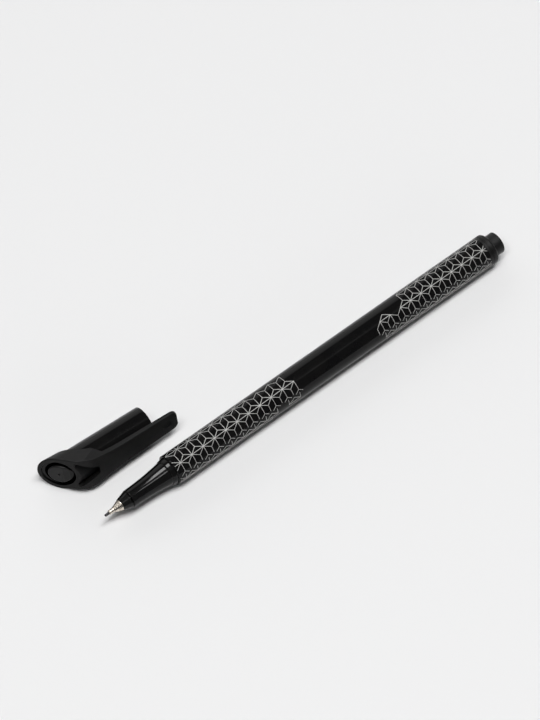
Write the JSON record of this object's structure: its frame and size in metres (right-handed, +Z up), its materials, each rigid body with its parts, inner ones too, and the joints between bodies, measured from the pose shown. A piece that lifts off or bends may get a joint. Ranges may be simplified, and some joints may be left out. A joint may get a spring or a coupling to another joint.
{
  "type": "fineliner pen",
  "caption": "Straight fineliner pen with patterned barrel, flared grip, metal-jacketed fibre tip and rear plug; its clip cap with slanted open crown lies off beside the tip.",
  "frame": {"origin": "on the floor under the middle of the barrel", "axes": "+X along the pen towards its rear plug, so the nib points to -X; +Z up from the floor"},
  "size_m": [0.1434, 0.0278, 0.0115],
  "materials": {
    "barrel_gloss": "gloss, silver line print at both ends",
    "section_gloss": "gloss",
    "nose_gloss": "gloss",
    "tip_metal": "turned, bright",
    "nib_fibre": "matte, inked",
    "filler_fibre": "matte, soaked fibre",
    "filler_film": "clear film",
    "plug_satin": "satin",
    "sleeve_gloss": "gloss",
    "crown_satin": "satin, finely eroded",
    "seal_satin": "satin"
  },
  "bodies": {
    "pen": {"barrel": "barrel_gloss", "grip_section": "section_gloss", "nose_cone": "nose_gloss", "tip_sleeve": "tip_metal", "fibre_nib": "nib_fibre", "ink_filler": "filler_fibre", "filler_film": "filler_film", "rear_plug": "plug_satin"},
    "cap": {"cap_sleeve": "sleeve_gloss", "cap_crown": "crown_satin", "cap_seal": "seal_satin"}
  },
  "joints": [
    {"name": "cap_slide", "type": "slide", "parent": "pen", "child": "cap", "axis": [-0.9987, 0.0419, 0.0288], "range_m": [0, 0.0224]}
  ]
}
